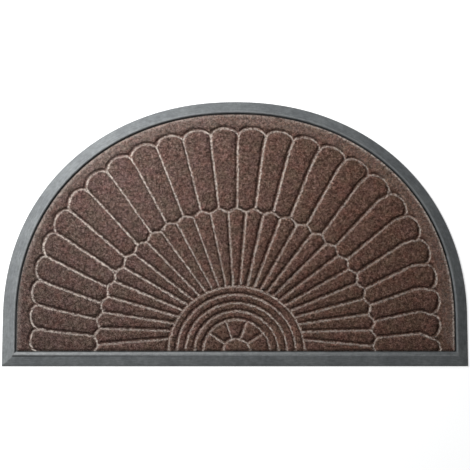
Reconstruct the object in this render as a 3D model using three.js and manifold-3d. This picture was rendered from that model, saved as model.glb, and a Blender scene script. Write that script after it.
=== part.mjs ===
// Half-round doormat: a moulded rubber base with a ramped border, and a field of
// brown needled carpet set in it, pressed with a fan of petals.
// Millimetres, +Z up. The origin is on the floor, under the middle of the mat,
// and the straight front edge faces -Y.

import * as THREE from "three";
import { mergeVertices } from "three/addons/utils/BufferGeometryUtils.js";
import Module from "manifold-3d";

// Outline seen from above: a straight front, short straight sides, then one arch
const matWidth = 750;
const matDepth = 450;
const sideStraight = 82;
const archPower = 2.11; // 2 is an ellipse, and more is a fuller shoulder
const archSteps = 72;

// Border, from the outer edge inwards
const rimHeight = 1.6;
const rampWidth = 17;
const crestHeight = 6.6;
const crestWidth = 0.8;
const slopeWidth = 5;
const ledgeHeight = 3.9;
const ledgeWidth = 0.9;
const recessFloor = 3.2;

const crestInset = rampWidth + crestWidth;
const slopeInset = crestInset + slopeWidth;
const recessInset = slopeInset + ledgeWidth;

// Carpet field, which lies a little right of the middle and towards the front
const fieldShift = new THREE.Vector2(1.4, -1);
const fitGap = 0.3;
const fieldInset = recessInset + fitGap;
const fieldTop = 7;
const fieldRoll = [
  // how far in from the field's edge, and how far below its top
  { inset: 0, drop: 2.9 },
  { inset: 0.5, drop: 1.7 },
  { inset: 1.7, drop: 0.6 },
  { inset: 3.6, drop: 0 },
];

// Fan pressed into the carpet, drawn from a hub near its front edge and turned a little
const hubPlace = new THREE.Vector2(0.3, 24.7);
const hubRadius = 21.7;
const spokeAngles = [36, 72, 108, 144];
const ringCount = 5;
const innerRingRadius = 53.8;
const ringPitch = 13.94;
const petalPitch = THREE.MathUtils.degToRad(6.98);
const petalsPerSide = 13;
const fanMiddle = THREE.MathUtils.degToRad(89.68);
const focusAboveHub = 30.8; // where the side lines of the inner petals point
const scallopHalfWidth = 224.7;
const scallopHeight = 239.7;
const scallopPower = 2.11; // 2 is an ellipse
const scallopWave = 3;
const scallopSkew = 1.6; // further out on the left and further in on the right
const crownInset = 45; // from the mat's outline to the tops of the outer petals
const crownHeight = 15.5;
const crownSkew = 1.4;
const crownBulge = 3.5; // further out between the top and the sides
// The crowns are turned clockwise from their petals: all, those near the front, those on the right
const crownTurn = THREE.MathUtils.degToRad(0.17);
const crownTurnFront = THREE.MathUtils.degToRad(0.85);
const crownTurnRight = THREE.MathUtils.degToRad(0.73);
const bendLength = 22; // over which the side lines bend to meet the turned crowns

// Pressed groove
const grooveWidth = 4.6;
const grooveDepth = 1.7;
const cutterAbove = 1; // how far a cutter stands above the carpet
const hubSteps = 8;
const ringSteps = 30;
const crownSteps = 8;
const bendSteps = 3;
const scallopSteps = 6;

const outermostRing = innerRingRadius + ringPitch * (ringCount - 1);

// The mat's outline moved inwards, counter-clockwise from the front right corner
function outline(inset, shift = new THREE.Vector2()) {
  const halfWidth = matWidth / 2;
  const archHeight = matDepth - sideStraight;
  const points = [new THREE.Vector2(halfWidth - inset, inset)];
  for (let step = 0; step <= archSteps; step += 1) {
    const turn = (Math.PI * step) / archSteps;
    const across = Math.sign(Math.cos(turn)) * Math.abs(Math.cos(turn)) ** (2 / archPower);
    const up = Math.sin(turn) ** (2 / archPower);
    const normal = new THREE.Vector2(
      (Math.sign(across) * Math.abs(across) ** (archPower - 1)) / halfWidth,
      up ** (archPower - 1) / archHeight,
    ).normalize();
    const onArch = new THREE.Vector2(across * halfWidth, sideStraight + up * archHeight);
    points.push(onArch.addScaledVector(normal, -inset));
  }
  points.push(new THREE.Vector2(inset - halfWidth, inset));
  return points.map((point) => point.add(shift));
}

// A closed solid through a stack of outlines that have the same number of points
function stackedSolid(levels) {
  const count = levels[0].points.length;
  const topRow = (levels.length - 1) * count;
  const positions = levels.flatMap(({ points, z }) => points.flatMap(({ x, y }) => [x, y, z]));
  const faces = [];
  for (const [a, b, c] of THREE.ShapeUtils.triangulateShape(levels[0].points, [])) {
    faces.push(a, c, b);
  }
  for (let below = 0; below < topRow; below += count) {
    const above = below + count;
    for (let point = 0; point < count; point += 1) {
      const next = (point + 1) % count;
      faces.push(below + point, below + next, above + next);
      faces.push(below + point, above + next, above + point);
    }
  }
  for (const [a, b, c] of THREE.ShapeUtils.triangulateShape(levels.at(-1).points, [])) {
    faces.push(topRow + a, topRow + b, topRow + c);
  }
  const geometry = new THREE.BufferGeometry();
  geometry.setAttribute("position", new THREE.Float32BufferAttribute(positions, 3));
  geometry.setIndex(faces);
  return geometry;
}

// Rubber base
function rubberBase() {
  return stackedSolid([
    { points: outline(0), z: 0 },
    { points: outline(0), z: rimHeight },
    { points: outline(rampWidth, fieldShift), z: crestHeight },
    { points: outline(crestInset, fieldShift), z: crestHeight },
    { points: outline(slopeInset, fieldShift), z: ledgeHeight },
    { points: outline(recessInset, fieldShift), z: ledgeHeight },
    { points: outline(recessInset, fieldShift), z: recessFloor },
  ]);
}

// The fan's places are given by an angle and a distance from its hub
function fromHub(angle, distance) {
  return new THREE.Vector2(
    hubPlace.x + distance * Math.cos(angle),
    hubPlace.y + distance * Math.sin(angle),
  );
}

function halfRing(radius, steps) {
  return Array.from({ length: steps + 1 }, (_, step) => fromHub((Math.PI * step) / steps, radius));
}

// Distance from the hub to the line that the tops of the outer petals touch
const crownLine = outline(crownInset);
function plainCrownReach(angle) {
  const across = Math.cos(angle);
  const toStraightSide = (Math.sign(across) * (matWidth / 2 - crownInset) - hubPlace.x) / across;
  if (fromHub(angle, toStraightSide).y <= sideStraight) return toStraightSide;
  const heading = fromHub(angle, 1).sub(hubPlace);
  const past = crownLine.findIndex((point) => heading.cross(point.clone().sub(hubPlace)) >= 0);
  const start = crownLine[past - 1].clone().sub(hubPlace);
  const edge = crownLine[past].clone().sub(crownLine[past - 1]);
  return start.cross(edge) / heading.cross(edge);
}

function crownReach(angle) {
  const bulge = crownBulge * Math.sin(2 * angle) ** 2;
  return plainCrownReach(angle) - crownSkew * Math.cos(angle) + bulge;
}

// Distance from the hub to the scalloped line between the two rows of petals
function scallopReach(angle) {
  const across = Math.abs(Math.cos(angle) / scallopHalfWidth) ** scallopPower;
  const up = Math.abs(Math.sin(angle) / scallopHeight) ** scallopPower;
  const petals = (angle - fanMiddle) / petalPitch;
  const wave = scallopWave * Math.cos(2 * Math.PI * petals);
  return (across + up) ** (-1 / scallopPower) + wave - scallopSkew * Math.cos(angle);
}

// The place on the crowns that belongs to an angle of the side lines
function turned(angle) {
  const near = crownTurnFront * Math.cos(angle) ** 4;
  const right = crownTurnRight * Math.cos(angle);
  return angle - crownTurn - near - right;
}

// One outer petal's round crown, from cusp to cusp
function crown(middle) {
  return Array.from({ length: crownSteps + 1 }, (_, step) => {
    const turn = Math.PI * (step / crownSteps - 0.5);
    const angle = turned(middle + (petalPitch / 2) * Math.sin(turn));
    return fromHub(angle, crownReach(angle) - crownHeight * (1 - Math.cos(turn)));
  });
}

// The scalloped line for the width of one petal
function scallop(middle) {
  return Array.from({ length: scallopSteps + 1 }, (_, step) => {
    const angle = middle + petalPitch * (step / scallopSteps - 0.5);
    return fromHub(angle, scallopReach(angle));
  });
}

// The side line between two outer petals, from the scalloped line to their cusp
function outerLine(angle) {
  const cusp = turned(angle);
  const end = crownReach(cusp) - crownHeight;
  const bend = Array.from({ length: bendSteps + 1 }, (_, step) => {
    const share = step / bendSteps;
    return fromHub(angle + (cusp - angle) * share ** 2, end - bendLength * (1 - share));
  });
  return [fromHub(angle, scallopReach(angle)), ...bend];
}

// The side line between two inner petals, from the scalloped line to the outermost ring
function innerLine(angle) {
  const outerEnd = fromHub(angle, scallopReach(angle));
  const focus = new THREE.Vector2(0, focusAboveHub).add(hubPlace);
  const heading = focus.sub(outerEnd).normalize();
  const toHub = hubPlace.clone().sub(outerEnd);
  const beyondRing = Math.sqrt(outermostRing ** 2 - toHub.cross(heading) ** 2);
  const length = toHub.dot(heading) - beyondRing;
  return [outerEnd, outerEnd.clone().addScaledVector(heading, length)];
}

function fanPaths() {
  const paths = [halfRing(hubRadius, hubSteps)];
  for (const spoke of spokeAngles) {
    const angle = THREE.MathUtils.degToRad(spoke);
    paths.push([fromHub(angle, hubRadius), fromHub(angle, innerRingRadius)]);
  }
  for (let ring = 0; ring < ringCount; ring += 1) {
    paths.push(halfRing(innerRingRadius + ringPitch * ring, ringSteps));
  }
  for (let petal = -petalsPerSide; petal < petalsPerSide; petal += 1) {
    const middle = fanMiddle + petalPitch * (petal + 0.5);
    paths.push(crown(middle), innerLine(middle));
  }
  for (let line = -petalsPerSide; line <= petalsPerSide; line += 1) {
    const angle = fanMiddle + petalPitch * line;
    paths.push(scallop(angle));
    if (Math.abs(line) < petalsPerSide) paths.push(outerLine(angle));
  }
  return paths;
}

// A cutter of the groove's width that follows a path and stands above the carpet
function grooveCutter(path) {
  const half = grooveWidth / 2;
  const start = path[0].clone().sub(path[1]).setLength(half).add(path[0]);
  const end = path.at(-1).clone().sub(path.at(-2)).setLength(half).add(path.at(-1));
  const run = [start, ...path.slice(1, -1), end];
  const across = run.map((point, index) => {
    const before = run[Math.max(index - 1, 0)];
    const after = run[Math.min(index + 1, run.length - 1)];
    const heading = after.clone().sub(before).setLength(half);
    return new THREE.Vector2(-heading.y, heading.x);
  });
  const right = run.map((point, index) => point.clone().sub(across[index]));
  const left = run.map((point, index) => point.clone().add(across[index]));
  const ribbon = new THREE.Shape([...right, ...left.reverse()]);
  const depth = grooveDepth + cutterAbove;
  const cutter = new THREE.ExtrudeGeometry(ribbon, { depth, bevelEnabled: false });
  return cutter.translate(0, 0, fieldTop - grooveDepth);
}

const wasm = await Module();
wasm.setup();

function toSolid(geometry) {
  const bare = geometry.clone();
  bare.deleteAttribute("normal");
  bare.deleteAttribute("uv");
  const merged = mergeVertices(bare);
  return new wasm.Manifold(
    new wasm.Mesh({
      numProp: 3,
      vertProperties: new Float32Array(merged.attributes.position.array),
      triVerts: new Uint32Array(merged.index.array),
    }),
  );
}

function toGeometry(solid) {
  const { vertProperties, triVerts } = solid.getMesh();
  const geometry = new THREE.BufferGeometry();
  geometry.setAttribute("position", new THREE.BufferAttribute(vertProperties, 3));
  geometry.setIndex(new THREE.BufferAttribute(triVerts, 1));
  return geometry;
}

// Carpet field: a sheet with a rolled edge, less the fan's grooves
function pileField() {
  const sheet = stackedSolid([
    { points: outline(fieldInset), z: recessFloor + fitGap },
    ...fieldRoll.map(({ inset, drop }) => ({
      points: outline(fieldInset + inset),
      z: fieldTop - drop,
    })),
  ]);
  const pressed = fanPaths()
    .map((path) => toSolid(grooveCutter(path)))
    .reduce((field, cutter) => field.subtract(cutter), toSolid(sheet));
  return toGeometry(pressed);
}

function piece(name, geometry, color, roughness) {
  const material = new THREE.MeshStandardMaterial({ color, roughness, metalness: 0 });
  const mesh = new THREE.Mesh(geometry, material);
  mesh.name = name;
  return mesh;
}

const base = piece("rubber_base", rubberBase(), 0x6a7074, 0.55);
const field = piece("pile_field", pileField(), 0x5f4c44, 0.95);
field.position.set(fieldShift.x, fieldShift.y, 0);

const doormat = new THREE.Group();
doormat.position.set(0, -matDepth / 2, 0);
doormat.add(base, field);

export default doormat;
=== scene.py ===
# Half-round doormat: a moulded rubber base with a ramped border, and a field of brown
# needled carpet set in it and pressed with a fan of petals. All lengths are in metres.

import math

import bpy
import numpy as np
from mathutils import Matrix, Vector, kdtree
from mathutils.geometry import delaunay_2d_cdt


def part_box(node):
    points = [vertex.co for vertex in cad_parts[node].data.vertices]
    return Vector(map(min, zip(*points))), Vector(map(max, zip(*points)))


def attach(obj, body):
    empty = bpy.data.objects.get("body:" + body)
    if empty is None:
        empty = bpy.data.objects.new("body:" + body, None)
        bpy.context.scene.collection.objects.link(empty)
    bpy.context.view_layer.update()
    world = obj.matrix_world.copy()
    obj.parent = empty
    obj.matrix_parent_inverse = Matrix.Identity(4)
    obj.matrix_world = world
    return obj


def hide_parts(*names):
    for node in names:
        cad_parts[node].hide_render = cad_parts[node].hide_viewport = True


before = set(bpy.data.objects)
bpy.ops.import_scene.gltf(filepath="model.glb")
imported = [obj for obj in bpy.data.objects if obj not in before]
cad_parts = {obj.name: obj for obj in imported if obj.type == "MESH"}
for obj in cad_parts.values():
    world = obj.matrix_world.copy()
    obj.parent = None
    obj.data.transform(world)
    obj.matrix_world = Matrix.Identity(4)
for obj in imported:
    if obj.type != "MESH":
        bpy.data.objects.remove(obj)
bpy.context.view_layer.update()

fieldLow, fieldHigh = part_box("pile_field")
baseLow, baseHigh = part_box("rubber_base")
matWidth = baseHigh.x - baseLow.x
matDepth = baseHigh.y - baseLow.y
frontY = baseLow.y
fieldInset = (matWidth - (fieldHigh.x - fieldLow.x)) / 2
fieldShift = np.array([(fieldLow.x + fieldHigh.x) / 2, fieldLow.y - frontY - fieldInset])
quarterTurn = math.pi / 2


# Camera, floor and lights

studio = {
    "cameraPlace": (0, -1.6265, 5.2305),
    "cameraAim": (0, -0.004, 0),
    "lens": 257.8,
    "sensor": 36,
    "floorSize": 14,
    "floorDrop": 0.0002,  # how far the floor lies below the mat's underside
    "floorColour": (0.9, 0.9, 0.9, 1),
    "floorGlow": 0.66,  # keeps the floor white up to the mat's edge, as in the photo
    "floorRoughness": 0.8,
    "floorSpecular": 0.1,
    "worldColour": (1, 1, 1, 1),
    "worldStrength": 0.08,
    "viewDepth": 60,
}
lamps = [
    # name, place, aim, size, watts, colour
    ("lampNear", (-0.466, 0.555, 0.338), (0, 0, 0), 0.24, 3.1, (0.97, 0.99, 1)),
    ("lampFar", (-0.966, 0.352, 1.226), (0, 0, 0), 0.48, 14.2, (0.97, 0.99, 1)),
]


def turnedTo(direction):
    return Vector(direction).to_track_quat("-Z", "Y").to_euler()


def makeStudio():
    scene = bpy.context.scene
    camera = bpy.data.objects.new("camera", bpy.data.cameras.new("camera"))
    scene.collection.objects.link(camera)
    camera.location = studio["cameraPlace"]
    camera.rotation_euler = turnedTo(Vector(studio["cameraAim"]) - camera.location)
    camera.data.lens = studio["lens"]
    camera.data.sensor_width = studio["sensor"]
    camera.data.clip_end = studio["viewDepth"]
    scene.camera = camera
    for name, place, aim, size, watts, colour in lamps:
        light = bpy.data.lights.new(name, "AREA")
        light.shape = "DISK"
        light.size = size
        light.energy = watts
        light.color = colour
        lamp = bpy.data.objects.new(name, light)
        lamp.location = place
        lamp.rotation_euler = turnedTo(Vector(aim) - Vector(place))
        scene.collection.objects.link(lamp)
    world = bpy.data.worlds.new("studio")
    world.use_nodes = True
    world.node_tree.nodes["Background"].inputs["Color"].default_value = studio["worldColour"]
    world.node_tree.nodes["Background"].inputs["Strength"].default_value = studio["worldStrength"]
    scene.world = world
    scene.view_settings.view_transform = "Standard"
    half, low = studio["floorSize"] / 2, -studio["floorDrop"]
    floorMesh = bpy.data.meshes.new("floor")
    corners = [(-half, -half, low), (half, -half, low), (half, half, low), (-half, half, low)]
    floorMesh.from_pydata(corners, [], [(0, 1, 2, 3)])
    floor = bpy.data.objects.new("floor", floorMesh)
    scene.collection.objects.link(floor)
    floorMesh.materials.append(paleFloor())


# Node helpers

def put(tree, kind, links=None, **settings):
    # adds a node; links maps an input's name or number to a socket or a plain value
    node = tree.nodes.new(kind)
    for key, value in settings.items():
        setattr(node, key, value)
    for key, value in (links or {}).items():
        if isinstance(value, bpy.types.NodeSocket):
            tree.links.new(value, node.inputs[key])
        else:
            node.inputs[key].default_value = value
    return node


def calc(tree, operation, *values):
    return put(tree, "ShaderNodeMath", dict(enumerate(values)), operation=operation).outputs[0]


def vectorCalc(tree, operation, first, second):
    node = put(tree, "ShaderNodeVectorMath", {0: first, 1: second}, operation=operation)
    return node.outputs["Value" if operation in ("DOT_PRODUCT", "DISTANCE") else "Vector"]


def scaled(tree, vector, size):
    return put(tree, "ShaderNodeVectorMath", {0: vector, "Scale": size}, operation="SCALE").outputs[0]


def smoothStep(tree, value, low, high, start=0.0, end=1.0):
    links = {"Value": value, "From Min": low, "From Max": high, "To Min": start, "To Max": end}
    node = put(tree, "ShaderNodeMapRange", links, interpolation_type="SMOOTHSTEP")
    return node.outputs["Result"]


def makeTree(name, kind, inputs, outputs):
    # inputs and outputs are rows of name, socket type and, where it has one, default
    tree = bpy.data.node_groups.new(name, kind)
    for direction, rows in (("INPUT", inputs), ("OUTPUT", outputs)):
        for label, socketType, *default in rows:
            socket = tree.interface.new_socket(label, in_out=direction, socket_type=socketType)
            if default:
                socket.default_value = default[0]
    return tree, put(tree, "NodeGroupInput").outputs, put(tree, "NodeGroupOutput").inputs


def stored(tree, name, kind="FLOAT"):
    # a value stored on the mesh, read in a Geometry Nodes tree
    return put(tree, "GeometryNodeInputNamedAttribute", {"Name": name}, data_type=kind).outputs[0]


def finished(tree, geometry, material):
    real = put(tree, "GeometryNodeRealizeInstances", {0: geometry}).outputs[0]
    return put(tree, "GeometryNodeSetMaterial", {"Geometry": real, "Material": material}).outputs[0]


def grown(owner, tree, values, name):
    # runs a Geometry Nodes tree on owner and returns the result as a plain mesh object
    modifier = owner.modifiers.new(tree.name, "NODES")
    modifier.node_group = tree
    sockets = {item.name: item.identifier for item in tree.interface.items_tree}
    for label, value in values.items():
        modifier[sockets[label]] = value
    evaluated = owner.evaluated_get(bpy.context.evaluated_depsgraph_get())
    mesh = bpy.data.meshes.new_from_object(evaluated)
    owner.modifiers.remove(modifier)
    return placed(mesh, name)


def placed(mesh, name):
    mesh.name = name
    piece = bpy.data.objects.new(name, mesh)
    bpy.context.scene.collection.objects.link(piece)
    return piece


def newMaterial(name):
    material = bpy.data.materials.new(name)
    material.use_nodes = True
    tree = material.node_tree
    return material, tree, tree.nodes["Principled BSDF"].inputs


def mixed(tree, amount, first, second, blend="MIX"):
    node = put(tree, "ShaderNodeMix", {0: amount, 6: first, 7: second}, data_type="RGBA",
               blend_type=blend)
    return node.outputs[2]


def grey(tree, value):
    return put(tree, "ShaderNodeCombineColor", {0: value, 1: value, 2: value}).outputs[0]


def painted(tree, name):
    # a value stored on the mesh, read in a material
    return put(tree, "ShaderNodeAttribute", attribute_name=name).outputs["Fac"]


def noise(tree, vector, size, detail=2.0, roughness=0.5, output="Fac"):
    # size is the width of one lump, as a number or a socket
    scale = calc(tree, "DIVIDE", 1.0, size) if isinstance(size, bpy.types.NodeSocket) else 1 / size
    links = {"Vector": vector, "Scale": scale, "Detail": detail, "Roughness": roughness}
    return put(tree, "ShaderNodeTexNoise", links).outputs[output]


def objectPlace(tree):
    return put(tree, "ShaderNodeTexCoord").outputs["Object"]


# Materials

def paleFloor():
    material, tree, shader = newMaterial("paleFloor")
    shader["Base Color"].default_value = studio["floorColour"]
    shader["Roughness"].default_value = studio["floorRoughness"]
    shader["Specular IOR Level"].default_value = studio["floorSpecular"]
    shader["Emission Color"].default_value = (1, 1, 1, 1)
    shader["Emission Strength"].default_value = studio["floorGlow"]
    # from below it is clear, so that the mat's underside can be seen
    back = put(tree, "ShaderNodeNewGeometry").outputs["Backfacing"]
    clear = put(tree, "ShaderNodeBsdfTransparent").outputs[0]
    solid = tree.nodes["Principled BSDF"].outputs[0]
    either = put(tree, "ShaderNodeMixShader", {0: back, 1: solid, 2: clear}).outputs[0]
    tree.links.new(either, tree.nodes["Material Output"].inputs["Surface"])
    return material


rubberLook = {
    "deep": (0.175, 0.185, 0.192, 1),
    "bloomed": (0.225, 0.237, 0.240, 1),  # where the rubber has a dry grey bloom
    # pale of wear, also used for painted highlights and painted light
    "wornAndLit": (0.36, 0.365, 0.365, 1),
    # the colour of the painted shade
    "shadeColour": (0.014, 0.013, 0.013, 1),
    "grainSize": 0.0012,
    "streakWidth": 0.0016,
    "streakStretch": 0.12,  # streaks are 1 / this times as long as wide
    "streakDepth": 0.16,  # how much lighter and darker the streaks are
    "blotchSize": 0.006,
    "blotchDepth": 0.12,
    "cloudSize": 0.035,
    "roughLow": 0.50,
    "roughHigh": 0.65,
    "bump": 0.00012,
}


def mouldedRubber():
    look = rubberLook
    material, tree, shader = newMaterial("mouldedRubber")
    place = objectPlace(tree)
    cloud = noise(tree, place, look["cloudSize"], 4, 0.6)
    grain = noise(tree, place, look["grainSize"], 3, 0.6)
    colour = mixed(tree, smoothStep(tree, cloud, 0.35, 0.7), look["deep"], look["bloomed"])
    spots = smoothStep(tree, grain, 0.35, 0.75, 0.3, 1.0)
    # wear with a painted highlight on the rim and crest, and painted light on the front wall
    colour = mixed(tree, calc(tree, "MULTIPLY", painted(tree, "wornAndLit"), spots), colour, look["wornAndLit"])

    def shades(mask, depth):
        return smoothStep(tree, mask, 0.3, 0.7, 1 - depth, 1 + depth)

    border = put(tree, "ShaderNodeUVMap", uv_map="border").outputs[0]
    stretch = vectorCalc(tree, "MULTIPLY", border, (look["streakStretch"], 1, 0))
    streaks = shades(noise(tree, stretch, look["streakWidth"], 3, 0.6), look["streakDepth"])
    blotches = shades(noise(tree, place, look["blotchSize"], 3, 0.7), look["blotchDepth"])
    colour = mixed(tree, 1.0, colour, grey(tree, calc(tree, "MULTIPLY", streaks, blotches)), "MULTIPLY")
    # painted shade in the gutter and at the wall's foot, on the front rim, and a dark line on the front
    # crest
    colour = mixed(tree, calc(tree, "MULTIPLY", painted(tree, "paintedShade"), 0.9), colour, look["shadeColour"])
    rough = smoothStep(tree, grain, 0.3, 0.7, look["roughLow"], look["roughHigh"])
    bump = put(tree, "ShaderNodeBump", {"Height": grain, "Distance": look["bump"], "Strength": 0.6})
    tree.links.new(colour, shader["Base Color"])
    tree.links.new(rough, shader["Roughness"])
    tree.links.new(bump.outputs["Normal"], shader["Normal"])
    return material


pileLook = {
    "brown": (0.185, 0.112, 0.086, 1),
    "rust": (0.240, 0.098, 0.074, 1),
    "olive": (0.180, 0.138, 0.092, 1),
    "mauve": (0.215, 0.118, 0.108, 1),
    # dark fibres, and the colour of the painted shadow in the gaps
    "dark": (0.036, 0.020, 0.015, 1),
    "light": (0.41, 0.30, 0.25, 1),
    "pale": (0.86, 0.755, 0.67, 1),  # crushed fibres in the grooves, and painted light on the strips beside them
    "sheenTint": (0.95, 1.0, 1.06, 1),  # painted sheen: tint of the pile at the left and the back
    "warm": (1.08, 0.99, 0.92, 1),  # tint of the pile at the right and the front, away from the painted sheen
    "backPaintedLight": 1.18,  # painted light: how much lighter the pile is at the back than at the front
    "leftShade": 0.86,  # painted shade: how light the pile still is at the far left
    "driftReach": (-0.28, 0.22),  # where the tint goes from cool to warm
    "backReach": (-0.20, 0.14),  # where the pile gets lighter towards the back
    "leftReach": (-0.36, -0.18),  # where it gets darker towards the left
    "mottleSize": 0.007,
    "mottleLow": 0.52,
    "mottleHigh": 1.55,
    "blotchSize": 0.020,
    "heatherSize": 0.004,
    "fibreSize": 0.0016,
    "beadSize": 0.0027,
    "bump": 0.0009,
    "roughness": 0.92,
    "specular": 0.25,
    "sheen": 0.1,
    "sheenRoughness": 0.5,
}
# inputs of the heather group, and the values of the look that they take
heatherColours = {"Brown": "brown", "Rust": "rust", "Olive": "olive", "Mauve": "mauve",
                  "Dark": "dark", "Light": "light"}
heatherSizes = {"Blotch Size": "blotchSize", "Heather Size": "heatherSize", "Fibre Size": "fibreSize"}


def heatherGroup():
    rows = [("Place", "NodeSocketVector")]
    rows += [(label, "NodeSocketColor") for label in heatherColours]
    rows += [(label, "NodeSocketFloat") for label in heatherSizes]
    outs = [("Colour", "NodeSocketColor"), ("Height", "NodeSocketFloat")]
    tree, ins, ends = makeTree("heather", "ShaderNodeTree", rows, outs)

    def lumps(size, detail, shift=0.0):
        moved = vectorCalc(tree, "ADD", ins["Place"], (shift, shift, shift))
        return noise(tree, moved, ins[size], detail, 0.6)

    fleck = lumps("Heather Size", 3.0, 3.1)
    hue = lumps("Blotch Size", 4.0, 2.4)
    rusty = smoothStep(tree, lumps("Blotch Size", 4.0), 0.46, 0.66, 0.10, 0.55)
    rustShare = calc(tree, "MULTIPLY", rusty, smoothStep(tree, fleck, 0.40, 0.60, 0.6, 1.0))
    oliveShare = smoothStep(tree, hue, 0.34, 0.50, 0.45, 0.0)
    mauveShare = smoothStep(tree, hue, 0.50, 0.66, 0.0, 0.55)
    shade = lumps("Heather Size", 2.0, 5.3)
    fibre = lumps("Fibre Size", 2.0, 1.3)
    both = calc(tree, "MULTIPLY_ADD", fibre, 0.6, calc(tree, "MULTIPLY", shade, 0.4))
    colour = mixed(tree, oliveShare, ins["Brown"], ins["Olive"])
    colour = mixed(tree, mauveShare, colour, ins["Mauve"])
    colour = mixed(tree, rustShare, colour, ins["Rust"])
    colour = mixed(tree, smoothStep(tree, both, 0.40, 0.53, 0.85, 0.0), colour, ins["Dark"])
    colour = mixed(tree, smoothStep(tree, both, 0.52, 0.66, 0.0, 0.7), colour, ins["Light"])
    tree.links.new(colour, ends["Colour"])
    tree.links.new(both, ends["Height"])
    return tree


def needledPile():
    look = pileLook
    material, tree, shader = newMaterial("needledPile")
    place = objectPlace(tree)
    links = {label: look[key] for label, key in {**heatherColours, **heatherSizes}.items()}
    group = put(tree, "ShaderNodeGroup", {"Place": place, **links}, node_tree=heatherGroup())
    # painted sheen, light and shade: cooler to the left and back, lighter to the back, darker at the far
    # left
    across, deep, _ = put(tree, "ShaderNodeSeparateXYZ", {0: place}).outputs
    slant = calc(tree, "MULTIPLY_ADD", deep, -0.5, across)
    drift = mixed(tree, smoothStep(tree, slant, *look["driftReach"]), look["sheenTint"], look["warm"])
    light = smoothStep(tree, deep, *look["backReach"], 1.0, look["backPaintedLight"])
    mottle = noise(tree, place, look["mottleSize"], 5, 0.95)
    light = calc(tree, "MULTIPLY", light,
                 smoothStep(tree, mottle, 0.36, 0.64, look["mottleLow"], look["mottleHigh"]))
    light = calc(tree, "MULTIPLY", light,
                 smoothStep(tree, across, *look["leftReach"], look["leftShade"], 1.0))
    tint = mixed(tree, 1.0, drift, grey(tree, light), "MULTIPLY")
    ground = mixed(tree, 1.0, group.outputs["Colour"], tint, "MULTIPLY")
    breakUp = smoothStep(tree, noise(tree, place, look["beadSize"], 2), 0.38, 0.60, 0.20, 1.05)
    # painted shadow in the gaps behind the lines and along the front and left edges
    colour = mixed(tree, calc(tree, "MULTIPLY", painted(tree, "hollow"), 0.7), ground, look["dark"])
    # pale crushed fibres, with painted light on the strips
    colour = mixed(tree, calc(tree, "MULTIPLY", painted(tree, "pressed"), breakUp), colour, look["pale"])
    tone = calc(tree, "MULTIPLY_ADD", painted(tree, "tuftTone"), 0.9, 1.0)
    colour = mixed(tree, 1.0, colour, grey(tree, tone), "MULTIPLY")
    bump = put(tree, "ShaderNodeBump", {"Height": group.outputs["Height"], "Distance": look["bump"],
                                        "Strength": 0.8})
    tree.links.new(colour, shader["Base Color"])
    tree.links.new(bump.outputs["Normal"], shader["Normal"])
    shader["Roughness"].default_value = look["roughness"]
    shader["Specular IOR Level"].default_value = look["specular"]
    shader["Sheen Weight"].default_value = look["sheen"]
    shader["Sheen Roughness"].default_value = look["sheenRoughness"]
    return material


# Outline of the mat: a straight front, short straight sides, then one arch

mat = {
    "sideStraight": 0.082,
    "archPower": 2.11,  # 2 is an ellipse, and more is a fuller shoulder
    "pointSpacing": 0.0035,
}


def onArch(turns, inset):
    halfWidth, archHeight, power = matWidth / 2, matDepth - mat["sideStraight"], mat["archPower"]
    across = np.sign(np.cos(turns)) * np.abs(np.cos(turns)) ** (2 / power)
    up = np.abs(np.sin(turns)) ** (2 / power)
    slopeX = np.sign(across) * np.abs(across) ** (power - 1) / halfWidth
    slopeY = up ** (power - 1) / archHeight
    normal = np.stack([slopeX, slopeY], 1) / np.hypot(slopeX, slopeY)[:, None]
    middle = np.stack([across * halfWidth, mat["sideStraight"] + up * archHeight], 1)
    return middle - inset * normal


def evenTurns():
    # turns at which the points of the arch lie the same distance apart
    turns = np.linspace(0, math.pi, 4001)
    steps = np.linalg.norm(np.diff(onArch(turns, 0), axis=0), axis=1)
    length = np.concatenate([[0], np.cumsum(steps)])
    count = round(length[-1] / mat["pointSpacing"])
    return np.interp(np.linspace(0, length[-1], count + 1), length, turns)


archTurns = evenTurns()


def sharesOf(length):
    # from 0 up to, but without, 1
    count = round(length / mat["pointSpacing"])
    return np.arange(count) / count


sideShares = sharesOf(mat["sideStraight"])
frontShares = sharesOf(matWidth)


def outline(inset, shift=(0, 0), frontExtra=0):
    # counter-clockwise from the front right corner, as a closed row of points
    arch = onArch(archTurns, inset)
    corner = np.array([matWidth / 2 - inset, inset + frontExtra])
    leftCorner = corner * [-1, 1]
    rightSide = corner + sideShares[:, None] * (arch[0] - corner)
    leftSide = (arch[-1] + sideShares[:, None] * (leftCorner - arch[-1]))[1:]
    front = leftCorner + frontShares[:, None] * (corner - leftCorner)
    row = np.concatenate([rightSide, arch, leftSide, front])
    return row + shift + [0, frontY]


# Fan pressed into the carpet, round a hub near its front edge

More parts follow.
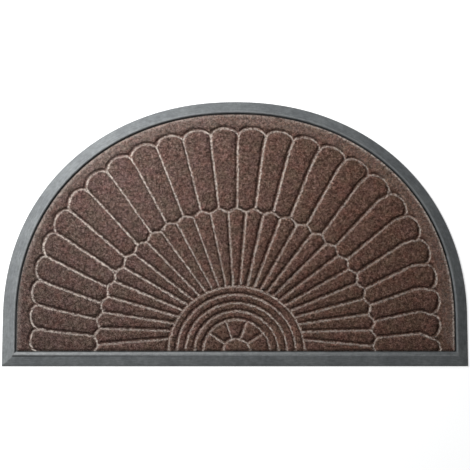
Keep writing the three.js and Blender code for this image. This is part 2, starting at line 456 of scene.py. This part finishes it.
fan = {
    "hub": (0.0003, 0.0247),  # from the middle of the field's front, and from the mat's front
    "hubRadius": 0.0217,
    "spokeAngles": (36, 72, 108, 144),
    "ringCount": 5,
    "innerRing": 0.0538,
    "ringPitch": 0.01394,
    "petalPitch": math.radians(6.98),
    "petalsPerSide": 13,
    "turn": math.radians(-0.32),
    "focusAboveHub": 0.0308,  # where the side lines of the inner petals point
    "scallopHalfWidth": 0.2247,
    "scallopHeight": 0.2397,
    "scallopPower": 2.11,  # 2 is an ellipse
    "scallopWave": 0.0030,
    "scallopSkew": 0.0016,  # further out on the left and further in on the right
    "crownInset": 0.0450,  # from the mat's outline to the tops of the outer petals
    "crownHeight": 0.0155,
    "crownSkew": 0.0014,
    "crownBulge": 0.0035,  # further out between the top and the sides
    # the crowns are turned clockwise from their petals: all, those near the front, those on the right
    "crownTurn": math.radians(0.17),
    "crownTurnFront": math.radians(0.85),
    "crownTurnRight": math.radians(0.73),
    "bendLength": 0.022,  # over which the side lines bend to meet the turned crowns
    "runOut": 0.003,  # how far the rings run on past the hub's level
    "arcPoints": 91,
    "crownPoints": 25,
    "bendPoints": 8,
    "wavePoints": 12,  # for each petal
}
hub = np.array(fan["hub"]) + fieldShift + [0, frontY]
outerRing = fan["innerRing"] + fan["ringPitch"] * (fan["ringCount"] - 1)
fanMiddle = quarterTurn + fan["turn"]


def fromHub(angles, distance):
    return hub + np.stack([np.cos(angles), np.sin(angles)], 1) * np.reshape(distance, (-1, 1))


def crownReach(angles):
    arch = onArch(archTurns, fan["crownInset"]) - fan["hub"]
    bearing = np.arctan2(arch[:, 1], arch[:, 0])
    across = np.cos(angles)
    toSide = (matWidth / 2 - fan["crownInset"]) / np.abs(across) - fan["hub"][0] / across
    toArch = np.interp(angles, bearing, np.hypot(arch[:, 0], arch[:, 1]))
    reach = np.where((angles < bearing[0]) | (angles > bearing[-1]), toSide, toArch)
    return reach - fan["crownSkew"] * across + fan["crownBulge"] * np.sin(2 * angles) ** 2


def scallopReach(angles):
    power = fan["scallopPower"]
    across = np.abs(np.cos(angles) / fan["scallopHalfWidth"]) ** power
    up = np.abs(np.sin(angles) / fan["scallopHeight"]) ** power
    petals = (angles - fanMiddle) / fan["petalPitch"]
    wave = fan["scallopWave"] * np.cos(2 * math.pi * petals)
    return (across + up) ** (-1 / power) + wave - fan["scallopSkew"] * np.cos(angles)


def turned(angles):
    near, right = fan["crownTurnFront"] * np.cos(angles) ** 4, fan["crownTurnRight"] * np.cos(angles)
    return angles - fan["crownTurn"] - near - right


def crown(middle):
    turn = np.linspace(-quarterTurn, quarterTurn, fan["crownPoints"])
    angles = turned(middle + fan["petalPitch"] / 2 * np.sin(turn))
    return fromHub(angles, crownReach(angles) - fan["crownHeight"] * (1 - np.cos(turn)))


def outerLine(angle):
    # from the scalloped line to the cusp between two crowns
    cusp = turned(np.array([angle]))
    end = crownReach(cusp)[0] - fan["crownHeight"]
    straight = np.array([scallopReach(angle), end - fan["bendLength"]])
    bend = np.linspace(0, 1, fan["bendPoints"] + 1)[1:]
    distance = np.concatenate([straight, end - fan["bendLength"] * (1 - bend)])
    angles = angle + np.concatenate([[0, 0], (cusp[0] - angle) * bend ** 2])
    return fromHub(angles, distance)


def arc(radius):
    angles = np.linspace(0, math.pi, fan["arcPoints"])
    row = fromHub(angles, radius)
    down = np.array([[0, -fan["runOut"]]])
    return np.concatenate([row[:1] + down, row, row[-1:] + down])


def innerLine(angle):
    start = fromHub(np.array([angle]), scallopReach(np.array([angle])))[0]
    heading = hub + [0, fan["focusAboveHub"]] - start
    heading /= np.linalg.norm(heading)
    toHub = hub - start
    miss = toHub[0] * heading[1] - toHub[1] * heading[0]
    beyond = math.sqrt(outerRing ** 2 - miss ** 2)
    return np.array([start, start + heading * (toHub @ heading - beyond)])


def fanLines():
    lines = [arc(fan["hubRadius"])]
    lines += [arc(fan["innerRing"] + fan["ringPitch"] * ring) for ring in range(fan["ringCount"])]
    for degrees in fan["spokeAngles"]:
        angle = np.full(2, math.radians(degrees))
        lines.append(fromHub(angle, [fan["hubRadius"], fan["innerRing"]]))
    side, pitch = fan["petalsPerSide"], fan["petalPitch"]
    for petal in range(-side, side):
        middle = fanMiddle + pitch * (petal + 0.5)
        lines += [crown(middle), innerLine(middle)]
    lines += [outerLine(fanMiddle + pitch * line) for line in range(1 - side, side)]
    count = fan["wavePoints"] * (2 * side + 1) + 1
    angles = fanMiddle + pitch * np.linspace(-side - 0.5, side + 0.5, count)
    lines.append(fromHub(angles, scallopReach(angles)))
    return lines


# Carpet sheet, cut flat and then pressed

carpet = {
    "edgeInset": fieldInset - 0.0016,  # its edge is pushed out against the rubber
    "frontExtra": 0.0028,
    "top": fieldHigh.z,
    "underside": fieldLow.z,
    "edgeRows": (0, 0.00015, 0.0005, 0.0010, 0.0017, 0.0026, 0.0038),
    "rollWidth": 0.0038,
    "rollDrop": 0.0028,
    "rowsBesideLines": (0, 0.0007, 0.0014, 0.0021, 0.0028, 0.0036, 0.0047),
    "alongLines": 0.0024,
    "fillSpacing": 0.0034,
    "grooveHalf": 0.0025,
    "grooveDepth": 0.0017,
    "gapDepth": 0.0008,
    "wobble": 0.0055,
    "wobbleSize": 0.0045,
    "lampSideAngle": math.radians(112),  # the side the grooves' painted light and shade are set from, close to the lamps' side: painted shadow and the groove's deeper part lie towards it
    "marginWidth": 0.0190,
    "marginWear": 0.125,
    "innerLessLit": 0.22,  # painted shade: how much fainter the strips get on the right of the inner petals' lines
    "domeRise": 0.0011,
    "domeReach": 0.0105,
    "unevenness": 0.00035,
    "lumpSize": 0.007,
    "closest": 0.00036,  # points of the sheet lie at least this far apart
    "fineSpacing": 0.0004,  # of the points that distances to the lines are measured from
    "creaseAngle": 50,
}
# pale strips of crushed fibres and painted light, and dark gaps of painted shadow, beside the lines and
# the edge, with widths as shares of half the groove's
strips = {
    "width": 0.52,
    "widerBefore": 0.68,
    "narrowerBehind": 0.46,
    "soft": 0.2,
    "softerAtFlank": 0.45,
    "fainterAtFlank": -0.4,
    "fainterWithin": -0.08,
    "lessLitOnRight": 0.22,
    "gapFrom": (0.45, 0.85),
    "gapTo": (1.40, 1.85),
    "gapShade": 0.93,
    "gapShadeOnRight": 0.46,
    "edgeFray": (0.8, 1.8),
    "edgeHaze": (0.7, 3.6),
    "edgeHazePale": 0.34,
    "edgeGap": (0.6, 1.8),
    "leftGap": (0.5, 1.1),
    "edgeGapShade": 0.8,
    "lessRolled": -0.7,  # where the edge is frayed
}
# inputs of the pressing tree, and the carpet's values that they take
pressSizes = {
    "Groove Half Width": "grooveHalf", "Groove Depth": "grooveDepth", "Gap Depth": "gapDepth",
    "Dome Rise": "domeRise", "Dome Reach": "domeReach", "Roll Width": "rollWidth",
    "Roll Drop": "rollDrop", "Unevenness": "unevenness", "Lump Size": "lumpSize",
    "Wobble": "wobble", "Wobble Size": "wobbleSize", "Lean Angle": "lampSideAngle",
    "Margin Width": "marginWidth", "Margin Wear": "marginWear", "Inner Faint": "innerLessLit",
}


def evenly(line, spacing):
    lengths = np.concatenate([[0], np.cumsum(np.linalg.norm(np.diff(line, axis=0), axis=1))])
    count = max(round(lengths[-1] / spacing), 1)
    wanted = np.linspace(0, lengths[-1], count + 1)
    return np.stack([np.interp(wanted, lengths, line[:, axis]) for axis in (0, 1)], 1)


def treeOf(points):
    tree = kdtree.KDTree(len(points))
    for index, (x, y) in enumerate(points):
        tree.insert((x, y, 0), index)
    tree.balance()
    return tree


def distances(points, tree):
    return np.array([tree.find((x, y, 0))[2] for x, y in points])


def rowsBeside(lines):
    # points on each line and at set distances on both sides of it, where no other line is nearer
    dense = np.concatenate([evenly(line, carpet["fineSpacing"]) for line in lines])
    denseTree = treeOf(dense)
    kept = []
    runs = [evenly(line, carpet["alongLines"]) for line in lines]
    for offset in carpet["rowsBesideLines"]:
        rows = []
        for run in runs:
            heading = np.gradient(run, axis=0)
            heading /= np.linalg.norm(heading, axis=1)[:, None]
            across = np.stack([-heading[:, 1], heading[:, 0]], 1)
            rows += [run + offset * across] + [run - offset * across] * (offset > 0)
        row = np.concatenate(rows)
        kept.append(row[distances(row, denseTree) > offset - 0.0001])
    return np.concatenate(kept), denseTree


def thinned(points, closest):
    # keeps the earlier one of any two points that lie too close
    tree = treeOf(points)
    dropped = np.zeros(len(points), bool)
    for index, (x, y) in enumerate(points):
        if not dropped[index]:
            for _, other, _ in tree.find_range((x, y, 0), closest):
                if other > index:
                    dropped[other] = True
    return points[~dropped]


def carpetLoop(inward=0):
    return outline(carpet["edgeInset"] + inward, fieldShift, carpet["frontExtra"])


def carpetPoints(lines):
    edge = carpetLoop()
    edgeRows = [carpetLoop(inward) for inward in carpet["edgeRows"]]
    edgeTree = treeOf(np.concatenate([edge, (edge + np.roll(edge, -1, 0)) / 2]))
    beside, denseTree = rowsBeside(lines)
    pitch = carpet["fillSpacing"]
    columns = np.arange(fieldLow.x, fieldHigh.x, pitch)
    rows = np.arange(fieldLow.y, fieldHigh.y, pitch * math.sqrt(3) / 2)
    fill = np.array([(x + (index % 2) * pitch / 2, y) for index, y in enumerate(rows) for x in columns])
    fill = fill[distances(fill, denseTree) > carpet["rowsBesideLines"][-1] + 0.4 * pitch]
    rollWidth = carpet["rollWidth"]
    inner = carpetLoop(rollWidth + 0.0004)
    beside = beside[inside(beside, inner)]
    fill = fill[inside(fill, inner) & (distances(fill, edgeTree) > rollWidth + 0.5 * pitch)]
    # the rows on the lines cross the rolled edge too, but give way to its own rows
    points = thinned(np.concatenate([*edgeRows, beside, fill]), carpet["closest"])
    return points, len(edge)


def inside(points, loop):
    # even-odd test of points against a closed row
    result = np.zeros(len(points), bool)
    ends = np.roll(loop, -1, axis=0)
    for (startX, startY), (endX, endY) in zip(loop, ends):
        if startY == endY:
            continue
        crosses = (startY > points[:, 1]) != (endY > points[:, 1])
        at = startX + (points[:, 1] - startY) * (endX - startX) / (endY - startY)
        result ^= crosses & (points[:, 0] < at)
    return result


def cutCarpet(lines):
    points, edgeCount = carpetPoints(lines)
    coords = [Vector((x, y)) for x, y in points]
    loop = list(range(edgeCount))
    found, _, faces, *_ = delaunay_2d_cdt(coords, [], [loop], 1, 1e-7, False)
    top = [(x, y, carpet["top"]) for x, y in found]
    below = [(x, y, carpet["underside"]) for x, y in found[:edgeCount]]
    wall = [(index, len(top) + index, len(top) + (index + 1) % edgeCount, (index + 1) % edgeCount)
            for index in range(edgeCount)]
    underside = tuple(len(top) + index for index in reversed(loop))
    mesh = bpy.data.meshes.new("carpet")
    mesh.from_pydata(top + below, [], [tuple(face) for face in faces] + wall + [underside])
    upper = mesh.attributes.new("upper", "FLOAT", "POINT")
    upper.data.foreach_set("value", [1.0] * len(top) + [0.0] * len(below))
    mesh.validate()
    return placed(mesh, "carpetSheet")


def lineObject(name, lines, closed=False):
    points, edges = [], []
    for line in lines:
        first = len(points)
        points += [(x, y, 0) for x, y in line]
        edges += [(index, index + 1) for index in range(first, len(points) - 1)]
        if closed:
            edges.append((len(points) - 1, first))
    mesh = bpy.data.meshes.new(name)
    mesh.from_pydata(points, edges, [])
    return placed(mesh, name)


def pressTree():
    inputs = [("Sheet", "NodeSocketGeometry"), ("Fan Lines", "NodeSocketObject"),
              ("Edge Line", "NodeSocketObject"), ("Hub", "NodeSocketVector"),
              ("Inner Reach", "NodeSocketFloat"), ("Pile", "NodeSocketMaterial")]
    inputs += [(label, "NodeSocketFloat") for label in pressSizes]
    tree, ins, ends = makeTree("pressedFan", "GeometryNodeTree", inputs,
                               [("Sheet", "NodeSocketGeometry")])
    place = put(tree, "GeometryNodeInputPosition").outputs[0]
    drift = noise(tree, place, ins["Wobble Size"], 1.5, 0.6, "Color")
    drift = scaled(tree, vectorCalc(tree, "SUBTRACT", drift, (0.5, 0.5, 0.5)), ins["Wobble"])
    moved = vectorCalc(tree, "ADD", place, drift)
    half = ins["Groove Half Width"]

    def flattened(vector):
        return vectorCalc(tree, "MULTIPLY", vector, (1, 1, 0))

    def nearest(label, flat):
        # distance to a line, and the direction in which a point lies from it
        info = put(tree, "GeometryNodeObjectInfo", {"Object": ins[label]})
        near = put(tree, "GeometryNodeProximity", {0: info.outputs["Geometry"]}, target_element="EDGES")
        tree.links.new(flat, near.inputs["Sample Position"])
        away = vectorCalc(tree, "SUBTRACT", flat, near.outputs["Position"])
        size = calc(tree, "DIVIDE", 1.0, calc(tree, "MAXIMUM", near.outputs["Distance"], 0.0001))
        return near.outputs["Distance"], scaled(tree, away, size)

    def along(direction, other):
        return vectorCalc(tree, "DOT_PRODUCT", direction, other)

    def times(*values):
        result = values[0]
        for value in values[1:]:
            result = calc(tree, "MULTIPLY", result, value)
        return result

    def plus(value, mask, change):
        # value where the mask is 0, and value + change where it is 1
        return calc(tree, "MULTIPLY_ADD", mask, change, value)

    def less(first, second):
        return calc(tree, "SUBTRACT", first, second)

    def most(first, second):
        return calc(tree, "MAXIMUM", first, second)

    def fall(value, low, high):
        return smoothStep(tree, value, low, high, 1.0, 0.0)

    def band(distance, shares):
        return fall(distance, times(half, shares[0]), times(half, shares[1]))

    lean = put(tree, "ShaderNodeCombineXYZ", {"X": calc(tree, "COSINE", ins["Lean Angle"]),
                                              "Y": calc(tree, "SINE", ins["Lean Angle"])}).outputs[0]
    toLine, fromLine = nearest("Fan Lines", flattened(moved))
    toEdge, fromEdge = nearest("Edge Line", flattened(place))
    side, east = along(fromLine, lean), along(fromLine, (1, 0, 0))
    edgeSide, edgeWest = along(fromEdge, (0, 1, 0)), along(fromEdge, (-1, 0, 0))
    toHub = vectorCalc(tree, "DISTANCE", flattened(place), ins["Hub"])
    # each line has a pale strip of crushed fibres before it, shaped and lightened as painted light, and a
    # dark gap of painted shadow behind it, on the side towards the lamps
    behind = smoothStep(tree, side, 0.05, 0.50)
    before, flank = fall(side, -0.6, -0.1), fall(side, -0.95, -0.5)
    stripEnd = less(plus(strips["width"], before, strips["widerBefore"]),
                    times(behind, strips["narrowerBehind"]))
    stripSoft = plus(strips["soft"], flank, strips["softerAtFlank"])
    # painted shade: strips on the right of their line are fainter, and more so within the inner petals
    inner = fall(toHub, times(ins["Inner Reach"], 0.9), ins["Inner Reach"])
    faint = times(east, plus(strips["lessLitOnRight"], inner, ins["Inner Faint"]))
    paleness = calc(tree, "MINIMUM", 1.0, less(1.0, faint))
    strip = times(band(toLine, (less(stripEnd, stripSoft), calc(tree, "ADD", stripEnd, stripSoft))),
                  plus(1.0, flank, strips["fainterAtFlank"]), plus(1.0, inner, strips["fainterWithin"]),
                  paleness)
    gapStart = smoothStep(tree, toLine, *[times(half, share) for share in strips["gapFrom"]])
    gap = times(gapStart, band(toLine, strips["gapTo"]), behind,
                plus(strips["gapShade"], east, strips["gapShadeOnRight"]))
    groove = band(toLine, (plus(0.4, behind, 0.8), plus(1.4, behind, 0.35)))
    edgeBehind = smoothStep(tree, edgeSide, 0.3, 0.8)
    edgeBefore = less(1.0, edgeBehind)
    # the cut edge is more frayed, and so paler and less rolled, on the right
    frayed = smoothStep(tree, edgeWest, -0.1, 0.6)
    # along the left side a dark gap of painted shade lies beside the rubber
    atLeft = fall(edgeWest, -1.0, -0.9)
    haze = times(band(toEdge, strips["edgeHaze"]), strips["edgeHazePale"])
    edgeStrip = times(most(times(band(toEdge, strips["edgeFray"]), frayed), haze), edgeBefore,
                      plus(1.0, atLeft, -0.5))
    margin = times(fall(toEdge, times(ins["Margin Width"], 0.8), times(ins["Margin Width"], 1.2)),
                   edgeBefore, smoothStep(tree, edgeWest, -0.95, -0.55, 0.1, 1.0), ins["Margin Wear"])
    # painted shade along the front edge, which faces away from the lamps
    edgeGap = times(band(toEdge, strips["edgeGap"]), edgeBehind, strips["edgeGapShade"])
    leftGap = times(band(toEdge, strips["leftGap"]), atLeft, strips["edgeGapShade"])

    def shortOf(distance, reach):
        # 1 on the line and 0 from its reach on
        return less(1.0, calc(tree, "MINIMUM", 1.0, calc(tree, "DIVIDE", distance, reach)))

    grooveDrop = calc(tree, "ADD", times(groove, ins["Groove Depth"]), times(gap, ins["Gap Depth"]))
    short = shortOf(toLine, ins["Dome Reach"])
    domeDrop = times(short, short, ins["Dome Rise"])
    rolled = shortOf(toEdge, ins["Roll Width"])
    arched = calc(tree, "SQRT", less(1.0, times(rolled, rolled)))
    rollDrop = times(less(1.0, arched), ins["Roll Drop"], plus(1.0, frayed, strips["lessRolled"]))
    lumps = noise(tree, place, ins["Lump Size"], 3.0, 0.6)
    drop = most(calc(tree, "ADD", grooveDrop, domeDrop), rollDrop)
    drop = calc(tree, "ADD", drop, times(lumps, ins["Unevenness"]))
    upper = stored(tree, "upper")
    offset = put(tree, "ShaderNodeCombineXYZ", {"Z": times(drop, upper, -1.0)}).outputs[0]
    result = put(tree, "GeometryNodeSetPosition", {"Geometry": ins["Sheet"], "Offset": offset}).outputs[0]
    # the pale mask holds crushed fibres, wear and painted light; the dark one holds painted shadow
    masks = {"pressed": most(most(strip, edgeStrip), margin), "hollow": most(gap, most(edgeGap, leftGap)),
             "grooved": groove}
    for label, mask in masks.items():
        result = put(tree, "GeometryNodeStoreNamedAttribute",
                     {"Geometry": result, "Name": label, "Value": times(mask, upper)},
                     data_type="FLOAT", domain="POINT").outputs[0]
    tree.links.new(finished(tree, result, ins["Pile"]), ends[0])
    return tree


def makeField(pile):
    lines = fanLines()
    sheet = cutCarpet(lines)
    fanObject = lineObject("fanLines", lines)
    edgeObject = lineObject("edgeLine", [carpetLoop()], closed=True)
    values = {label: carpet[key] for label, key in pressSizes.items()}
    values.update({"Fan Lines": fanObject, "Edge Line": edgeObject, "Pile": pile,
                   "Hub": (float(hub[0]), float(hub[1]), 0.0), "Inner Reach": fan["scallopHalfWidth"]})
    field = grown(sheet, pressTree(), values, "pile_field_pressed")
    for spare in (sheet, fanObject, edgeObject):
        bpy.data.objects.remove(spare)
    smooth(field, carpet["creaseAngle"])
    print("field:", len(field.data.polygons), "faces")
    return field


def smooth(piece, degrees):
    piece.data.polygons.foreach_set("use_smooth", [True] * len(piece.data.polygons))
    piece.data.set_sharp_from_angle(angle=math.radians(degrees))


# Rubber base, as rows from the middle of the underside to the floor of the recess

base = {
    "rim": 0.0016,
    "rampWidth": 0.0170,
    "crest": baseHigh.z,
    "wallWidth": 0.0034,  # the inner side is a quarter round, from the crest to a steep foot
    "wallWidthFront": 0.0063,
    "wallPower": 2.5,
    "recess": 0.0032,
    "rimRound": 0.0004,
    # painted light on the front wall, which faces the lamps
    "frontWallLight": 1.35,
    "frontDarkLine": 0.9,  # of the dark line painted on and outside the crest along the front
    "frontDarkLineReach": (0.9, 1.03),  # where that line lies, as shares of the ramp's width
    "rimShade": 0.4,  # of the painted shade on the rim along the front
    "unshadedBelow": 0.19,  # no shade is painted in the gutter on the right, up to this far from the mat's front
    "creaseAngle": 22,
}


def baseRows():
    # inset from the outline, height, share of the field's shift, share of the wall, and wear with a
    # painted highlight from 0 to 1
    rim, ramp, crest, edge = base["rim"], base["rampWidth"], base["crest"], base["rimRound"]
    width, depth, power = base["wallWidth"], crest - base["recess"], base["wallPower"]
    rise = (crest - rim) / ramp
    rows = [
        (edge, 0, 0, 0, 0), (edge * 0.3, edge * 0.3, 0, 0, 0.2), (0, edge, 0, 0, 0.3),
        (0, rim - edge, 0, 0, 0.6), (edge * 0.2, rim - edge * 0.2, 0, 0, 1.0),
        (edge * 1.2, rim + edge * 1.2 * rise, 0.02, 0, 0.7),
    ]
    for share in (0.08, 0.16, 0.3, 0.45, 0.6, 0.75, 0.85, 0.92):
        rows.append((ramp * share, rim + (crest - rim) * share, share, 0, 0))
    rows += [
        (ramp - 0.0008, crest - 0.0008 * rise - 0.00004, 0.95, 0, 0.3),
        (ramp - 0.0002, crest - 0.00006, 1, 0, 0.8),
    ]
    for share, wearAndGlint in ((0.09, 1.0), (0.2, 0.6), (0.32, 0.2), (0.43, 0), (0.55, 0), (0.66, 0), (0.76, 0),
                        (0.85, 0), (0.92, 0), (0.97, 0)):
        height = base["recess"] + depth * (1 - share ** power) ** (1 / power)
        rows.append((ramp + width * share, height, 1, share, wearAndGlint))
    foot = ramp + width
    rows += [(foot, base["recess"], 1, 1, 0), (foot + 0.0008, base["recess"], 1, 1, 0),
             (fieldInset + 0.002, base["recess"], 1, 1, 0)]
    return rows


def borderPlaces(rows, count):
    # how far along and in from the outline each corner of each face lies
    middle = outline(base["rampWidth"] / 2)
    steps = np.linalg.norm(np.roll(middle, -1, axis=0) - middle, axis=1)
    along = np.concatenate([[0], np.cumsum(steps)])
    insets = [inset for inset, *_ in rows]
    places = np.zeros((len(rows) - 1, count, 4, 2))
    places[:, :, 0, 0] = places[:, :, 3, 0] = along[:-1]
    places[:, :, 1, 0] = places[:, :, 2, 0] = along[1:]
    places[:, :, :2, 1] = np.reshape(insets[:-1], (-1, 1, 1))
    places[:, :, 2:, 1] = np.reshape(insets[1:], (-1, 1, 1))
    plain = np.zeros((count, 2))
    return np.concatenate([plain, places.reshape(-1, 2), plain])


def makeBase(rubber):
    rows = baseRows()
    extra = base["wallWidthFront"] - base["wallWidth"]
    loops = [outline(inset, fieldShift * share, extra * wall) for inset, _, share, wall, _ in rows]
    count = len(loops[0])
    points = [(x, y, rows[index][1]) for index, loop in enumerate(loops) for x, y in loop]
    faces = [tuple(range(count - 1, -1, -1))]
    for row in range(len(rows) - 1):
        for column in range(count):
            nextColumn = (column + 1) % count
            faces.append((row * count + column, row * count + nextColumn,
                          (row + 1) * count + nextColumn, (row + 1) * count + column))
    faces.append(tuple((len(rows) - 1) * count + column for column in range(count)))
    mesh = bpy.data.meshes.new("rubber_base_moulded")
    mesh.from_pydata(points, [], faces)
    # along the front the wall is painted pale as painted light, and a dark line is painted on its crest,
    # both more so on the left, and along the arch and the left side painted shade lies at the wall's foot
    # and in the gutter, and on the rim along the front
    swept = count - len(frontShares)
    atFront = np.arange(count) >= swept
    leftness = np.concatenate([np.zeros(swept), 1 - frontShares])
    gutterShaded = ~atFront & ((loops[0][:, 0] < 0) | (loops[0][:, 1] - frontY > base["unshadedBelow"]))
    lineStart, lineEnd = base["frontDarkLineReach"]
    wornAndLit, paintedShade = [], []
    for inset, height, _, wall, wearAndGlint in rows:
        atRim = atFront & (inset < base["rim"]) & (height > 0)
        # painted light: the front wall is painted paler, more so to the left and towards its foot
        litFront = leftness * base["frontWallLight"] * (0.8 + wall) * (0.05 < wall < 0.95)
        wornAndLit.append(np.maximum(wearAndGlint * ~atRim, litFront))
        besideCrest = lineStart < inset / base["rampWidth"] < lineEnd
        # a dark line painted beside the crest, darker to the left, and painted shade on the front rim
        line = leftness ** 3 * base["frontDarkLine"] * besideCrest + atRim * base["rimShade"]
        paintedShade.append(np.maximum(max(0.0, 1.6 * wall - 0.6) * gutterShaded, line))
    mesh.attributes.new("wornAndLit", "FLOAT", "POINT").data.foreach_set("value", np.ravel(wornAndLit))
    mesh.attributes.new("paintedShade", "FLOAT", "POINT").data.foreach_set("value", np.ravel(paintedShade))
    mesh.uv_layers.new(name="border").data.foreach_set("uv", borderPlaces(rows, count).ravel())
    piece = placed(mesh, "rubber_base_moulded")
    mesh.materials.append(rubber)
    smooth(piece, base["creaseAngle"])
    print("base:", len(mesh.polygons), "faces")
    return piece


# Tufts of matted fibre that stand on the carpet

tufts = {
    "density": 900000.0,  # for each square metre
    "width": 0.00055,
    "height": 0.0016,
    "sunk": 0.0006,
    "lean": 0.9,
    "sizes": (0.6, 1.25),  # smallest and largest
    "tones": (-0.5, 0.6),  # darkest and lightest
    "steepest": 0.3,  # least upward share of the normal of a face that tufts stand on
    "seed": 7,
}
# inputs of the tuft tree, and the values that they take
tuftSizes = {"Density": "density", "Width": "width", "Height": "height", "Sunk": "sunk", "Lean": "lean"}


def tuftTree():
    inputs = [("Carpet", "NodeSocketGeometry"), ("Part", "NodeSocketInt"), ("Seed", "NodeSocketInt"),
              ("Pile", "NodeSocketMaterial")]
    inputs += [(label, "NodeSocketFloat") for label in tuftSizes]
    tree, ins, ends = makeTree("standingTufts", "GeometryNodeTree", inputs,
                               [("Tufts", "NodeSocketGeometry")])

    def drawn(low, high, seed, kind="FLOAT"):
        first, output = (0, 0) if kind == "FLOAT_VECTOR" else (2, 1)
        links = {first: low, first + 1: high, "Seed": seed}
        return put(tree, "FunctionNodeRandomValue", links, data_type=kind).outputs[output]

    own = put(tree, "FunctionNodeCompare", {2: stored(tree, "part", "INT"), 3: ins["Part"]},
              data_type="INT", operation="EQUAL")
    # none stand in the gaps, and fewer in the grooves
    room = calc(tree, "MULTIPLY", smoothStep(tree, stored(tree, "hollow"), 0.1, 0.4, 1.0, 0.0),
                smoothStep(tree, stored(tree, "grooved"), 0.2, 0.8, 1.0, 0.35))
    spread = put(tree, "GeometryNodeDistributePointsOnFaces",
                 {"Mesh": ins["Carpet"], "Selection": own.outputs[0], "Seed": ins["Seed"],
                  "Density": calc(tree, "MULTIPLY", ins["Density"], room)}, distribute_method="RANDOM")
    links = {"Vertices": 3, "Radius Top": 0.0, "Radius Bottom": ins["Width"], "Depth": ins["Height"]}
    cone = put(tree, "GeometryNodeMeshCone", links, fill_type="NGON")
    lower = put(tree, "ShaderNodeCombineXYZ", {"Z": calc(tree, "MULTIPLY", ins["Sunk"], -1.0)}).outputs[0]
    tuft = put(tree, "GeometryNodeTransform", {"Geometry": cone.outputs["Mesh"], "Translation": lower})
    away = calc(tree, "MULTIPLY", ins["Lean"], -1.0)
    low = put(tree, "ShaderNodeCombineXYZ", {"X": away, "Y": away}).outputs[0]
    high = put(tree, "ShaderNodeCombineXYZ", {"X": ins["Lean"], "Y": ins["Lean"]}).outputs[0]
    up = vectorCalc(tree, "ADD", spread.outputs["Normal"], drawn(low, high, 3, "FLOAT_VECTOR"))
    aligned = put(tree, "FunctionNodeAlignRotationToVector", {"Vector": up}, axis="Z").outputs[0]
    spin = put(tree, "FunctionNodeAxisAngleToRotation", {"Angle": drawn(0.0, 6.28, 5)}).outputs[0]
    spun = put(tree, "FunctionNodeRotateRotation", {0: aligned, 1: spin}, rotation_space="LOCAL")
    planted = put(tree, "GeometryNodeInstanceOnPoints",
                  {"Points": spread.outputs["Points"], "Instance": tuft.outputs[0],
                   "Rotation": spun.outputs[0], "Scale": drawn(*tufts["sizes"], 9)})
    toned = put(tree, "GeometryNodeStoreNamedAttribute",
                {"Geometry": planted.outputs[0], "Name": "tuftTone", "Value": drawn(*tufts["tones"], 13)},
                data_type="FLOAT", domain="INSTANCE")
    tree.links.new(finished(tree, toned.outputs[0], ins["Pile"]), ends[0])
    return tree


tuftParts = ["tufts_margin_and_hub", "tufts_inner_petals", "tufts_outer_left", "tufts_outer_right"]


def partOf(places):
    # which of the tuft pieces a face belongs to
    towards = places[:, :2] - hub
    angle = np.arctan2(towards[:, 1], towards[:, 0])
    distance = np.hypot(towards[:, 0], towards[:, 1])
    unturned = 2 * angle - turned(angle)
    step = np.abs(np.mod((unturned - fanMiddle) / fan["petalPitch"], 1) - 0.5) * 2
    top = crownReach(angle) - fan["crownHeight"] * (1 - np.sqrt(np.clip(1 - step ** 2, 0, 1)))
    part = np.where(towards[:, 0] < 0, 2, 3)
    part[distance > top] = 0
    part[distance < scallopReach(angle)] = 1
    part[distance < outerRing] = 0
    part[angle < -0.3] = 0
    return part


def makeTufts(field, pile):
    mesh = field.data
    places = np.empty(len(mesh.polygons) * 3)
    mesh.polygons.foreach_get("center", places)
    normals = np.empty(len(mesh.polygons) * 3)
    mesh.polygons.foreach_get("normal", normals)
    part = partOf(places.reshape(-1, 3))
    part[normals.reshape(-1, 3)[:, 2] < tufts["steepest"]] = -1
    mesh.attributes.new("part", "INT", "FACE").data.foreach_set("value", part.astype(np.int32))
    tree = tuftTree()
    pieces = []
    for index, name in enumerate(tuftParts):
        values = {label: tufts[key] for label, key in tuftSizes.items()}
        values.update({"Part": index, "Seed": tufts["seed"] + index, "Pile": pile})
        piece = grown(field, tree, values, name)
        print(name, len(piece.data.polygons), "faces")
        pieces.append(piece)
    mesh.attributes.remove(mesh.attributes["part"])
    return pieces


makeStudio()
print("studio made")
rubber = mouldedRubber()
pile = needledPile()
moulded = makeBase(rubber)
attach(moulded, "root")
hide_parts("rubber_base")

field = makeField(pile)
standing = makeTufts(field, pile)
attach(field, "root")
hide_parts("pile_field")
for piece in standing:
    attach(piece, "root")
